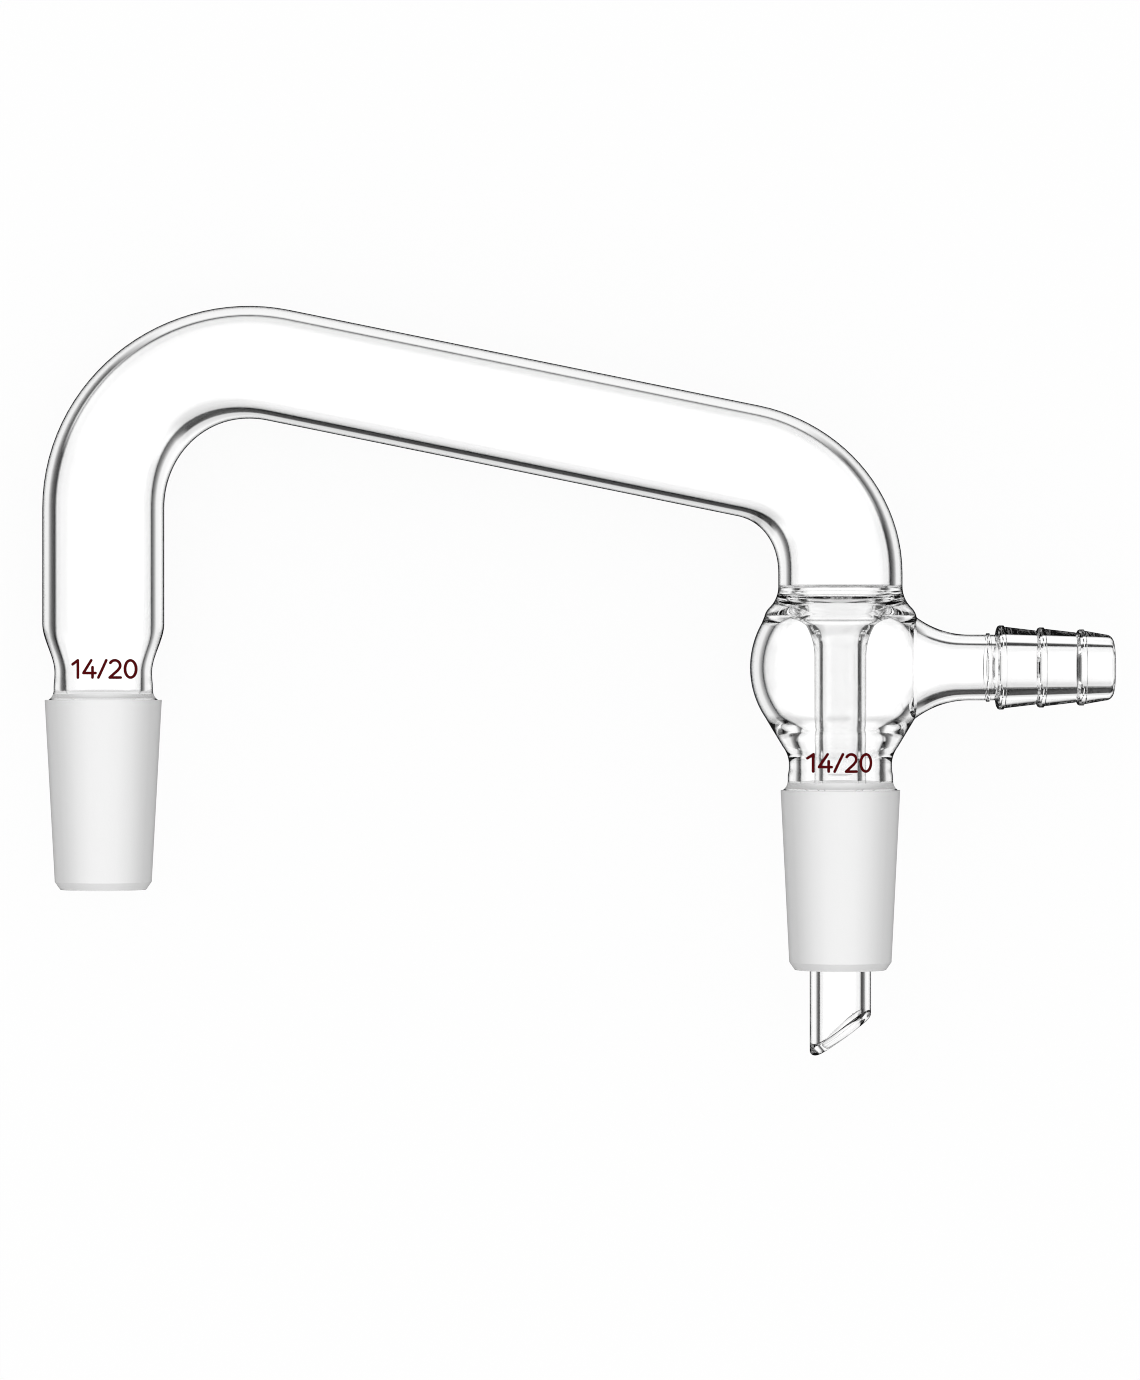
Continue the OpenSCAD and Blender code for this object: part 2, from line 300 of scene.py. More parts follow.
def chained(points):
    """Starts a mesh as a chain of edges through the points, all selected, and stays in edit mode."""
    nothing_selected()
    bpy.ops.mesh.primitive_plane_add(size=1, location=points[0])
    bpy.ops.object.transform_apply()
    bpy.ops.object.mode_set(mode="EDIT")
    bpy.ops.mesh.merge(type="CENTER")
    for here, there in zip(points, points[1:]):
        if (there - here).length > WELD:
            bpy.ops.mesh.extrude_vertices_move(TRANSFORM_OT_translate={"value": there - here})
    bpy.ops.mesh.select_all(action="SELECT")


def turned(name, outline, along="Z"):
    """A solid of revolution about Z or X, from an outline of (radius, distance along the axis)."""
    closed = [(0, outline[0][1]), *outline, (0, outline[-1][1])]
    axis = Vector((0, 0, 1)) if along == "Z" else Vector((1, 0, 0))
    out = Vector((1, 0, 0)) if along == "Z" else Vector((0, 0, 1))
    chained([out * r + axis * h for r, h in closed])
    bpy.ops.mesh.spin(steps=ROUND, angle=2 * math.pi, center=(0, 0, 0), axis=axis)
    return close_up(name)


def drawn(name, start, steps):
    """A bent solid rod, drawn ring by ring. A step is a pull to (x, z) or a turn about a bend's
    centre, in degrees, and each says the radius that the ring then has."""
    x, z, r = start
    nothing_selected()
    bpy.ops.mesh.primitive_circle_add(
        vertices=ROUND, radius=r, fill_type="NOTHING", location=(x, 0, z)
    )
    bpy.ops.object.transform_apply()
    bpy.ops.object.mode_set(mode="EDIT")
    bpy.ops.mesh.select_all(action="SELECT")
    for kind, a, b, new_r, *turn in steps:
        if kind == "pull":
            bpy.ops.mesh.extrude_region_move(
                TRANSFORM_OT_translate={"value": (a - x, 0, b - z)}
            )
            x, z = a, b
        else:
            bpy.ops.mesh.spin(
                steps=1, angle=math.radians(turn[0]), center=(a, 0, b), axis=(0, -1, 0)
            )
            spun = Matrix.Rotation(math.radians(turn[0]), 2) @ Vector((z - b, x - a))
            x, z = a + spun.y, b + spun.x
        if abs(new_r - r) > 1e-6:
            bpy.ops.transform.resize(value=(new_r / r,) * 3, center_override=(x, 0, z))
            r = new_r
    bpy.ops.mesh.select_all(action="DESELECT")
    bpy.ops.mesh.select_non_manifold(extend=False)
    bpy.ops.mesh.edge_face_add()
    return close_up(name)


def pick_faces(piece, test):
    """Enters edit mode with only the faces selected that pass a test."""
    only(piece)
    bpy.ops.object.mode_set(mode="EDIT")
    bpy.ops.mesh.select_mode(type="FACE")
    bpy.ops.mesh.select_all(action="DESELECT")
    bpy.ops.object.mode_set(mode="OBJECT")
    for face in piece.data.polygons:
        face.select = test(face)
    bpy.ops.object.mode_set(mode="EDIT")


def combine(piece, other, how):
    """Joins a second solid to the piece, or takes it away, and uses it up."""
    modifier = piece.modifiers.new(how, "BOOLEAN")
    modifier.operation = how
    modifier.solver = "MANIFOLD"
    modifier.object = other
    only(piece)
    bpy.ops.object.modifier_apply(modifier=modifier.name)
    mesh = other.data
    bpy.data.objects.remove(other)
    bpy.data.meshes.remove(mesh)
    return piece


# ---------------------------------------------------------------- where the glass lies


def levels(s):
    """Places that several pieces share, from the sizes in millimetres."""
    seal_r, leg_r, bulb_r = s.seal_d / 2, s.leg_d / 2, s.bulb_d / 2
    fall = s.span_fall
    riser_z = s.seal_top + RISER
    outlet_bend = (-s.outlet_bend_r, riser_z)
    reach = s.leg_spacing - s.inlet_bend_r - s.outlet_bend_r
    inlet_bend_z = riser_z + (
        reach * math.sin(fall) + s.outlet_bend_r - s.inlet_bend_r
    ) / math.cos(fall)
    inlet_bend = (s.inlet_bend_r - s.leg_spacing, inlet_bend_z)
    span_end = (
        outlet_bend[0] + s.outlet_bend_r * math.sin(fall),
        outlet_bend[1] + s.outlet_bend_r * math.cos(fall),
    )
    stem_r = s.stem_d / 2
    return SimpleNamespace(
        leg_r=leg_r,
        span_r=s.span_d / 2,
        seal_r=seal_r,
        bulb_r=bulb_r,
        bulb_in_r=bulb_r - s.bulb_wall,
        outlet_bend=outlet_bend,
        inlet_bend=inlet_bend,
        span_end=span_end,
        stem_r=stem_r,
        funnel=(stem_r + s.funnel_r, s.seal_top - FUNNEL_DROP),
        inlet_cone_r=s.cone_d / 2 + INLET_CONE_MORE,
        outlet_cone_r=s.cone_d / 2 + OUTLET_CONE_MORE,
        tilt=math.asin((bulb_r - leg_r) / s.leg_spacing),
        arm_end=s.barb_x + s.barb_count * s.barb_pitch - ARM_SHORT,
        thin_z=DRIP_THIN - s.outlet_top,
        thick_z=DRIP_THICK - s.outlet_end,
    )


def laid_down(s):
    """The matrix that lays the upright glass on its back, in metres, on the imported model's place."""
    at = levels(s)
    low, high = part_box(CAD_NODE)
    tip_r = s.barb_last_d / 2 - s.barb_drop - ARM_END_R
    right = (
        (at.arm_end - ARM_END_R) * math.cos(at.tilt) + tip_r * math.sin(at.tilt) + ARM_END_R
    )
    place = Vector((high.x - right * MM, low.y + s.tip_drop * MM, at.bulb_r * MM))
    return (
        Matrix.Translation(place)
        @ Matrix.Scale(MM, 4)
        @ Matrix.Rotation(-at.tilt, 4, "Y")
        @ Matrix.Rotation(math.radians(-90), 4, "X")
    )


# ---------------------------------------------------------------- the glass


def bends(s, at, r_leg, r_span, r_seal, step=3.5):
    """Steps of the main tube over both bends, from the inlet leg to the ring seal. The tube
    changes its size in the first four fifths of the first bend, and over nearly all the second."""
    steps = []
    first, second = 90 + math.degrees(s.span_fall), 90 - math.degrees(s.span_fall)
    count = round(first / step)
    for i in range(1, count + 1):
        r = mix(r_leg, r_span, smooth(1.25 * i / count))
        steps.append(("turn", *at.inlet_bend, r, first / count))
    start = (
        at.inlet_bend[0] + s.inlet_bend_r * math.sin(s.span_fall),
        at.inlet_bend[1] + s.inlet_bend_r * math.cos(s.span_fall),
    )
    for share in (0.25, 0.5, 0.75, 1):
        x, z = (mix(a, b, share) for a, b in zip(start, at.span_end))
        steps.append(("pull", x, z, r_span))
    count = round(second / step)
    for i in range(1, count + 1):
        r = mix(r_span, r_seal, smooth(1.1 * i / count - 0.1))
        steps.append(("turn", *at.outlet_bend, r, second / count))
    return steps


def cone_outside(neck_r, top_r, top_z, end_z, lean):
    """Outline of a ground cone from its small end up to the neck: chamfer, cone and lip."""
    foot_r = top_r - (top_z - end_z - CHAMFER_Z) * lean
    return [
        *arc((foot_r - CHAMFER_R - 0.12, end_z + FOOT_R), FOOT_R, -90, -34, 8),
        (foot_r, end_z + CHAMFER_Z),
        (top_r, top_z),
        *reversed(arc((neck_r + LIP_R, top_z + LIP_RISE), LIP_R, 180, 244, 5)),
    ]


def main_tube_outside(s, at):
    """From the inlet cone over both bends, the shoulder and the bulb to the outlet cone."""
    x, neck_r = -s.leg_spacing, s.inlet_neck_d / 2
    foot_r = neck_r + INLET_FOOT
    outline = cone_outside(foot_r, at.inlet_cone_r, -s.inlet_top, -s.inlet_end, INLET_LEAN)
    outline += ease((foot_r, -s.inlet_top + NECK_RISE), (neck_r, LEG_FROM_Z - 0.3), 5)
    outline += ease((neck_r, LEG_FROM_Z), (at.leg_r, LEG_FULL_Z), 20)
    outline += [(at.leg_r, LEG_EVEN_Z), (at.leg_r, at.inlet_bend[1])]
    steps = [("pull", x, z, r) for r, z in outline[1:]]
    seal_r = at.seal_r - 0.04
    steps += bends(s, at, at.leg_r, at.span_r, seal_r)
    groove, both_r = (seal_r + GROOVE_R, s.seal_top + 0.1), GROOVE_R + SHOULDER_R
    shoulder = (
        groove[0] - both_r * math.cos(math.radians(GROOVE_TURN)),
        groove[1] - both_r * math.sin(math.radians(GROOVE_TURN)),
    )
    bulb = [
        *arc(groove, GROOVE_R, 180, 180 + GROOVE_TURN),
        *arc(shoulder, SHOULDER_R, GROOVE_TURN, 12)[1:],
        *arc((0, 0), at.bulb_r, 29.5, -34, 2.5),
    ]
    neck_r = s.outlet_neck_d / 2
    foot_r = neck_r + OUTLET_FOOT
    outlet = cone_outside(foot_r, at.outlet_cone_r, -s.outlet_top, -s.outlet_end, OUTLET_LEAN)
    outlet += ease((foot_r, -s.outlet_top + NECK_RISE), (neck_r, NECK_TOP_Z - 0.4), 5)
    outlet += arc((neck_r + NECK_R, NECK_TOP_Z), NECK_R, 180, 142, 2.5)
    steps += [("pull", 0, z, r) for r, z in [*bulb, *reversed(outlet)]]
    return drawn("main_tube", (x, outline[0][1], outline[0][0]), steps)


def arm_outside(s, at):
    """Flare, side arm and barbs, turned about the arm's axis."""
    arm_r, flare_r = s.arm_d / 2, s.arm_flare_r
    flare_x = math.sqrt((at.bulb_r + flare_r) ** 2 - (arm_r + flare_r) ** 2)
    touch = math.degrees(math.atan2(arm_r + flare_r, flare_x))
    flare_x -= FLARE_CROSS
    outline = [(r, x) for x, r in arc((flare_x, arm_r + flare_r), flare_r, touch + 180, 270, 2.5)]
    weld = s.barb_x - WELD_BACK
    for high, along in ((0, -0.25), (WELD_RING, -0.17), (WELD_RING, 0.17), (0, 0.25)):
        outline.append((arm_r + high, weld + along))
    outline.append((arm_r, s.barb_x))
    for i in range(s.barb_count):
        x = s.barb_x + i * s.barb_pitch
        crest = mix(s.barb_first_d, s.barb_last_d, i / (s.barb_count - 1)) / 2
        last = i == s.barb_count - 1
        end_x = at.arm_end - ARM_END_R if last else x + s.barb_pitch - BARB_GAP
        outline += [(crest - below, x + along) for below, along in BARB]
        outline.append((crest - s.barb_drop, end_x))
        if not last:
            outline.append((arm_r - 0.05, end_x + BARB_GAP))
    end_r = s.barb_last_d / 2 - s.barb_drop - ARM_END_R
    outline += [(r, x) for x, r in arc((at.arm_end - ARM_END_R, end_r), ARM_END_R, 80, 0, 10)]
    return turned("side_arm", outline, "X")


def vacuum_space(s, at):
    """What is open to the pump: bulb, side arm bore and the room round the drip tube."""
    neck, soft, inner = s.outlet_neck_d / 2 - s.neck_wall, NECK_BORE_R, at.bulb_in_r
    middle = (neck + soft, -math.sqrt((inner + soft) ** 2 - (neck + soft) ** 2))
    meet = math.degrees(math.acos(middle[0] / (inner + soft)))
    outline = [(neck, -s.outlet_end - BEYOND), *arc(middle, soft, 180, 180 - meet, 3)]
    outline += arc((0, 0), inner, -meet, 87, 2.5)[1:]
    space = turned("bulb_space", outline)
    bore, soft = s.arm_bore / 2, s.arm_mouth_r
    mouth_x = math.sqrt((inner + soft) ** 2 - (bore + soft) ** 2)
    touch = math.degrees(math.atan2(bore + soft, mouth_x))
    middle = (mouth_x - MOUTH_CROSS, bore + soft)
    outline = [(r, x) for x, r in arc(middle, soft, touch + 180, 270, 2.5)]
    end, bore = at.arm_end - ARM_RIM_R, bore - ARM_NARROWS
    outline.append((bore, end))
    outline += [(r, x) for x, r in arc((end, bore + ARM_RIM_R), ARM_RIM_R, 270, 340, 5)[1:]]
    outline.append((bore + ARM_RIM_R, at.arm_end + 0.6 * BEYOND))
    return combine(space, turned("arm_space", outline, "X"), "UNION")


def drip_tube_outside(s, at):
    """Funnel, stem and slanting tip that hang inside the bulb."""
    top, tip_r = s.seal_top - FUNNEL_TOP, s.tip_d / 2
    turn = math.degrees(math.asin((top - at.funnel[1]) / s.funnel_r))
    outline = [
        (tip_r, -s.tip_drop - 3 * BEYOND),
        (tip_r, at.thick_z - 0.2),
        *ease((tip_r, at.thick_z), (at.stem_r, at.thin_z), 8),
        *arc(at.funnel, s.funnel_r, 180, 180 - turn, 3),
        (at.seal_r - 0.8, top + 0.25),
        (at.seal_r - 0.8, top + 0.9),
    ]
    rim = rim_of_tip(s)
    only(turned("drip_tube", outline))
    bpy.ops.object.mode_set(mode="EDIT")
    bpy.ops.mesh.select_all(action="SELECT")
    bpy.ops.mesh.bisect(
        plane_co=(0, 0, rim.middle_z),
        plane_no=(math.sin(rim.cut_slope), 0, -math.cos(rim.cut_slope)),
        use_fill=True,
        clear_outer=True,
    )
    return close_up("drip_tube")


def rim_of_tip(s):
    """The bead along the rim of the tip: its radius, its distance from the tube's axis, the height
    of its middle, and the slope at which the tube is cut so that the bead takes over both corners."""
    slope, bead_r = s.tip_slope, s.tip_rim / 2
    spread = math.hypot(1, math.sin(slope))
    middle_r = s.tip_d / 2 - bead_r * spread
    rise = middle_r * math.tan(slope)
    below = bead_r * math.hypot(math.tan(slope), math.cos(slope))
    aside = bead_r * math.sin(slope) ** 3 / (math.cos(slope) * spread)
    return SimpleNamespace(
        bead_r=bead_r,
        middle_r=middle_r,
        middle_z=rise + below - s.tip_drop,
        cut_slope=math.atan2(rise + aside, s.tip_d / 2),
    )


def tip_bead(s):
    """The round bead that fire polishing leaves along the slanting rim of the tip."""
    rim = rim_of_tip(s)
    nothing_selected()
    bpy.ops.mesh.primitive_torus_add(
        major_radius=rim.middle_r, minor_radius=rim.bead_r, major_segments=ROUND, minor_segments=36
    )
    bead = bpy.context.object
    long, wide = 1 / math.cos(s.tip_slope), s.tip_d / 2 / (rim.middle_r + rim.bead_r)
    bead.data.transform(
        Matrix.Translation((0, 0, rim.middle_z))
        @ Matrix.Rotation(-s.tip_slope, 4, "Y")
        @ Matrix.Diagonal((long, wide, 1, 1))
    )
    return bead


def sagged(piece, s, at):
    """Draws the bore away from the inside of each bend, where bending leaves the wall thicker."""
    start = math.radians(180)
    level = math.radians(90) - s.span_fall
    for centre, radius, first, last, extra in (
        (at.inlet_bend, s.inlet_bend_r, start, level, INLET_SAG),
        (at.outlet_bend, s.outlet_bend_r, level, 0, OUTLET_SAG),
    ):
        for vertex in piece.data.vertices:
            x, z = vertex.co.x - centre[0], vertex.co.z - centre[1]
            along = (first - math.atan2(z, x)) / (first - last)
            reach = math.hypot(x, z)
            if 0 < along < 1 and reach < radius:
                inward = smooth((radius - reach) / at.span_r)
                reach += extra * math.sin(math.pi * along) ** 2 * inward
                turn = math.atan2(z, x)
                vertex.co.x = centre[0] + reach * math.cos(turn)
                vertex.co.z = centre[1] + reach * math.sin(turn)
    return piece


def passage(s, at):
    """The way of the vapour: inlet cone, main tube, throat, funnel and drip tube."""
    x, wall = -s.leg_spacing, s.tube_wall
    neck, leg = s.inlet_neck_d / 2 - s.neck_wall, at.leg_r - wall - LEG_THICKER
    outline = [(neck, -s.inlet_end - BEYOND), (neck, -s.inlet_top + 0.6)]
    outline += ease((neck + 0.06, -s.inlet_top + LIP_RISE), (neck + 0.1, LEG_FROM_Z - 0.6), 4)
    outline += ease((neck + 0.1, LEG_FROM_Z - 0.2), (leg, LEG_FULL_Z - 0.4), 20)
    outline += [(leg, LEG_EVEN_Z), (leg, at.inlet_bend[1])]
    steps = [("pull", x, z, r) for r, z in outline[1:]]
    span, riser = at.span_r - wall + SPAN_THINNER, at.seal_r - wall - LEG_THICKER
    steps += bends(s, at, leg, span, riser)
    top, throat, drip, tip = s.seal_top, s.throat_d / 2, s.drip_bore / 2, s.tip_bore / 2
    edge, belly, foot = ((throat + off, top - below) for off, below in THROAT)
    seal = [
        (riser, top + 0.25),
        *arc((riser - SEAL_EDGE_R, top + SEAL_EDGE_R), SEAL_EDGE_R, 0, -80, 10)[1:],
        (throat + 0.25, top - 0.1),
        *arc((throat + 0.25, top - 0.1 - SEAL_EDGE_R), SEAL_EDGE_R, 90, 180, 10)[1:],
        *ease(edge, belly, 6),
        *ease((belly[0], belly[1] - 0.05), foot, 8)[1:],
        *ease((foot[0], foot[1] - 0.05), (drip, top - FUNNEL_END), 16)[1:],
        *ease((drip, at.thin_z), (tip, at.thick_z), 8),
        (tip, -s.tip_drop - 4 * BEYOND),
    ]
    steps += [("pull", 0, z, r) for r, z in seal]
    return sagged(drawn("passage", (x, outline[0][1], outline[0][0]), steps), s, at)


def is_ground(centre, s, at):
    """Whether a face, by its middle, lies on the outside of a ground cone, its chamfer or its lip."""
    for axis_x, top, end, top_r, neck_d in (
        (-s.leg_spacing, -s.inlet_top, -s.inlet_end, at.inlet_cone_r, s.inlet_neck_d),
        (0, -s.outlet_top, -s.outlet_end, at.outlet_cone_r, s.outlet_neck_d),
    ):
        cone_r = top_r - INLET_LEAN * (top - centre.z)
        away = math.hypot(centre.x - axis_x, centre.y)
        up, rise = centre.z - end, centre.z - top
        on_cone = up > CHAMFER_Z and rise < 0 and abs(away - cone_r) < 0.4
        on_chamfer = FOOT_R < up - 0.01 and up <= CHAMFER_Z and -0.75 < away - cone_r < 0.1
        on_lip = LIP_GROUND[0] <= rise < LIP_GROUND[1] and neck_d / 2 + 0.17 < away < top_r + 0.1
        if on_cone or on_chamfer or on_lip:
            return True
    return False


class MESH_OT_blow_adapter_glass(bpy.types.Operator):
    """Model the glass: tube, bends, ring seal, bulb, side arm, cones and drip tube"""

    bl_idname = "mesh.blow_adapter_glass"
    bl_label = "Glass body"

    def execute(self, context):
        s = in_mm(context.scene.adapter_sizes)
        at = levels(s)
        glass = combine(main_tube_outside(s, at), arm_outside(s, at), "UNION")
        drip = drip_tube_outside(s, at)
        space = vacuum_space(s, at)
        core = drip.copy()
        core.data = drip.data.copy()
        context.collection.objects.link(core)
        combine(space, core, "DIFFERENCE")
        combine(glass, space, "DIFFERENCE")
        combine(glass, drip, "UNION")
        combine(glass, passage(s, at), "DIFFERENCE")
        combine(glass, tip_bead(s), "UNION")
        glass.name = glass.data.name = "adapter_glass"
        glass.data.materials.clear()
        glass.data.materials.append(clear_glass(context.scene.adapter_finishes))
        glass.data.materials.append(ground_glass(context.scene.adapter_finishes))
        self.grind(glass, s, at)
        glass.data.transform(laid_down(s))
        only(glass)
        bpy.ops.object.shade_smooth_by_angle(angle=SHARP_FROM)
        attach(glass, BODY)
        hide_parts(CAD_NODE)
        return {"FINISHED"}

    def grind(self, glass, s, at):
        """Gives the outside of both cones the ground finish."""
        pick_faces(glass, lambda face: is_ground(face.center, s, at))
        glass.active_material_index = 1
        bpy.ops.object.material_slot_assign()
        bpy.ops.mesh.select_mode(type="VERT")
        bpy.ops.object.mode_set(mode="OBJECT")


# ---------------------------------------------------------------- size marks


def figure_strokes(height):
    """Middle lines of the strokes of the size 14/20, in upright figures of even stroke, centred
    on zero. The widths and gaps are shares of the height."""
    one = [[(0.33, 1), (0.33, 0)], [(0.33, 1), (0.02, 0.77)]]
    four = [
        [(0.46, 1), (0.02, 0.3), (0.0, 0.26)],
        [(0.0, 0.26), (0.7, 0.26)],
        [(0.53, 0.6), (0.53, 0)],
    ]
    slash = [[(0.46, 1), (0, 0)]]
    bow = arc((0.3, 0.7), 0.3, 150, -28, 12)
    two = [[*bow, (0.46, 0.42), (0, 0)], [(0, 0), (0.62, 0)]]
    ring = [(0.31 + 0.31 * px, 0.5 + 0.5 * pz) for px, pz in arc((0, 0), 1, 0, 360, 12)]
    nought = [ring[: len(ring) // 2 + 1], ring[len(ring) // 2 :]]
    lines, left = [], 0
    for figure, wide, gap in (
        (one, 0.33, 0.33),
        (four, 0.7, 0.17),
        (slash, 0.46, 0.19),
        (two, 0.62, 0.25),
        (nought, 0.62, 0),
    ):
        lines += [[(left + px, pz) for px, pz in line] for line in figure]
        left += wide + gap
    return [[((px - left / 2) * height, (pz - 0.5) * height) for px, pz in line] for line in lines]


def stroke(line, width, thick=0.4):
    """A flat bar with round ends along a line of (x, z) points, well before the glass."""
    half = width / 2
    sides = ([], [])
    for i, here in enumerate(line):
        before, after = Vector(line[max(i - 1, 0)]), Vector(line[min(i + 1, len(line) - 1)])
        way = (after - before).normalized()
        out = Vector((-way.y, way.x)) * half
        sides[0].append(Vector(here) + out)
        sides[1].append(Vector(here) - out)
    caps = []
    for tip, back in ((line[-1], line[-2]), (line[0], line[1])):
        way = Vector(tip) - Vector(back)
        lean = math.degrees(math.atan2(way.y, way.x))
        caps.append([Vector(p) for p in arc(tip, half, lean + 70, lean - 70, 20)])
    rim = [*sides[0], *caps[0], *reversed(sides[1]), *caps[1]]
    chained([Vector((p.x, FIGURES_Y, p.y)) for p in (*rim, rim[0])])
    bpy.ops.mesh.remove_doubles(threshold=WELD)
    bpy.ops.mesh.select_all(action="SELECT")
    bpy.ops.mesh.edge_face_add()
    bpy.ops.mesh.extrude_region_move(TRANSFORM_OT_translate={"value": (0, thick, 0)})
    return close_up("stroke")


class MESH_OT_print_size_marks(bpy.types.Operator):
    """Print the plain size numbers of the joints on both necks"""

    bl_idname = "mesh.print_size_marks"
    bl_label = "Size marks"

    def execute(self, context):
        s = in_mm(context.scene.adapter_sizes)
        marks = in_mm(context.scene.mark_sizes)
        enamel = fired_enamel(context.scene.adapter_finishes)
        inlet_x = marks.inlet_aside - s.leg_spacing
        self.mark("size_mark_inlet", inlet_x, -marks.inlet_z, s, marks, enamel)
        self.mark("size_mark_outlet", marks.outlet_aside, -marks.outlet_z, s, marks, enamel)
        return {"FINISHED"}

    def mark(self, name, x, z, s, marks, enamel):
        """The figures, drawn flat and standing before the neck, then pressed onto it."""
        piece = None
        for points in figure_strokes(marks.height - marks.stroke):
            bar = stroke([(x + px, z + pz) for px, pz in points], marks.stroke)
            piece = combine(piece, bar, "UNION") if piece else bar
        piece.name = piece.data.name = name
        pick_faces(piece, lambda face: face.normal.y > -0.5)
        bpy.ops.mesh.delete(type="FACE")
        bpy.ops.mesh.select_mode(type="VERT")
        cuts = [((x + GRID_X * i, 0, 0), (1, 0, 0)) for i in range(-20, 21)]
        cuts += [((0, 0, z + GRID_Z * i), (0, 0, 1)) for i in range(-4, 5)]
        for place, way in cuts:
            bpy.ops.mesh.select_all(action="SELECT")
            bpy.ops.mesh.bisect(plane_co=place, plane_no=way)
        bpy.ops.object.mode_set(mode="OBJECT")
        piece.data.transform(laid_down(s))
        wrap = piece.modifiers.new("On the neck", "SHRINKWRAP")
        wrap.wrap_method = "PROJECT"
        wrap.use_project_z = True
        wrap.use_negative_direction = True
        wrap.use_positive_direction = False
        wrap.offset = FIGURES_OFF * MM
        wrap.target = bpy.data.objects["adapter_glass"]
        skin = piece.modifiers.new("Thickness", "SOLIDIFY")
        skin.thickness = marks.depth * MM
        skin.offset = 1
        for modifier in list(piece.modifiers):
            bpy.ops.object.modifier_apply(modifier=modifier.name)
        piece.data.materials.clear()
        piece.data.materials.append(enamel)
        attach(piece, BODY)


# ---------------------------------------------------------------- finishes


def add(tree, kind, links=None, stops=(), **settings):
    """Adds a node, with its settings, its input values, its links from other sockets and, where
    it has a ramp, the stops of it as (position, colour)."""
    node = tree.nodes.new(kind)
    inputs = settings.pop("inputs", {})
    for key, value in settings.items():
        setattr(node, key, value)
    for key, value in inputs.items():
        node.inputs[key].default_value = value
    for key, socket in (links or {}).items():
        tree.links.new(socket, node.inputs[key])
    if stops:
        elements = node.color_ramp.elements
        elements.remove(elements[0])
        for i, (position, tone) in enumerate(stops):
            element = elements[0] if i == 0 else elements.new(position)
            element.position, element.color = position, (*tone, 1)
    return node


def new_material(name):
    material = bpy.data.materials.new(name)
    material.use_nodes = True
    tree = material.node_tree
    tree.nodes.clear()
    output = add(tree, "ShaderNodeOutputMaterial")
    return material, tree, output


def clear_glass(finishes):
    """Borosilicate 3.3 tubing, lamp worked: clear and glossy, with the faint waviness of drawn
    glass, which bends the edge lines a little. Where a wall is seen edge on, its colour is painted
    dark, a painted shade that gives every wall seen edge on a thin dark line."""
    material, tree, output = new_material("Borosilicate_glass_lamp_worked")
    place = add(tree, "ShaderNodeTexCoord").outputs["Object"]
    waves = add(
        tree,
        "ShaderNodeTexNoise",
        {"Vector": place},
        inputs={"Scale": 1 / (9 * MM), "Detail": 1.0, "Roughness": 0.4},
    )
    bump = add(
        tree,
        "ShaderNodeBump",
        {"Height": waves.outputs["Fac"]},
        inputs={"Strength": 0.15, "Distance": 0.02 * MM},
    )
    # painted shade: the base colour is painted dark where the glass is seen edge on
    edge_on = add(tree, "ShaderNodeLayerWeight", inputs={"Blend": 0.5}).outputs["Facing"]
    stops = [(EDGE_SHADE_FROM, finishes.glass), (EDGE_SHADE_TO, finishes.edge)]
    tone = add(tree, "ShaderNodeValToRGB", {"Fac": edge_on}, stops=stops)
    shader = add(
        tree,
        "ShaderNodeBsdfPrincipled",
        {"Base Color": tone.outputs["Color"], "Normal": bump.outputs["Normal"]},
        inputs={
            "Roughness": 0.0,
            "IOR": 1.474,
            "Transmission Weight": 1.0,
        },
    )
    tree.links.new(shader.outputs["BSDF"], output.inputs["Surface"])
    return material


def ground_glass(finishes):
    """Ground joint: the cone's outside is worn matt with fine grit, so it is milky white; its colour
    is painted softly greyer where it turns away, as painted shade."""
    material, tree, output = new_material("Borosilicate_glass_ground")
    place = add(tree, "ShaderNodeTexCoord").outputs["Object"]
    grit = add(
        tree,
        "ShaderNodeTexNoise",
        {"Vector": place},
        inputs={"Scale": 1 / (0.25 * MM), "Detail": 3.0, "Roughness": 0.7},
    )
    bump = add(
        tree,
        "ShaderNodeBump",
        {"Height": grit.outputs["Fac"]},
        inputs={"Strength": 0.25, "Distance": 0.03 * MM},
    )
    # painted shade: the ground glass's colour is painted greyer as the surface turns away from the eye
    turned_away = add(tree, "ShaderNodeLayerWeight", inputs={"Blend": 0.5}).outputs["Facing"]
    stops = [(away, [c * bright for c in finishes.ground]) for away, bright in GROUND_PAINTED_SHADE]
    tone = add(tree, "ShaderNodeValToRGB", {"Fac": turned_away}, stops=stops)
    shader = add(
        tree,
        "ShaderNodeBsdfPrincipled",
        {"Base Color": tone.outputs["Color"], "Normal": bump.outputs["Normal"]},
        inputs={
            "Roughness": 0.4,
            "IOR": 1.474,
            "Transmission Weight": 0.12,
        },
    )
    glow = add(
        tree,
        "ShaderNodeBsdfTranslucent",
        {"Normal": bump.outputs["Normal"]},
        inputs={"Color": (*(c * GROUND_INSIDE for c in finishes.ground), 1)},
    )
    inside = add(tree, "ShaderNodeNewGeometry").outputs["Backfacing"]
    both = add(
        tree,
        "ShaderNodeMixShader",
        {0: inside, 1: shader.outputs["BSDF"], 2: glow.outputs["BSDF"]},
    )
    tree.links.new(both.outputs["Shader"], output.inputs["Surface"])
    return material


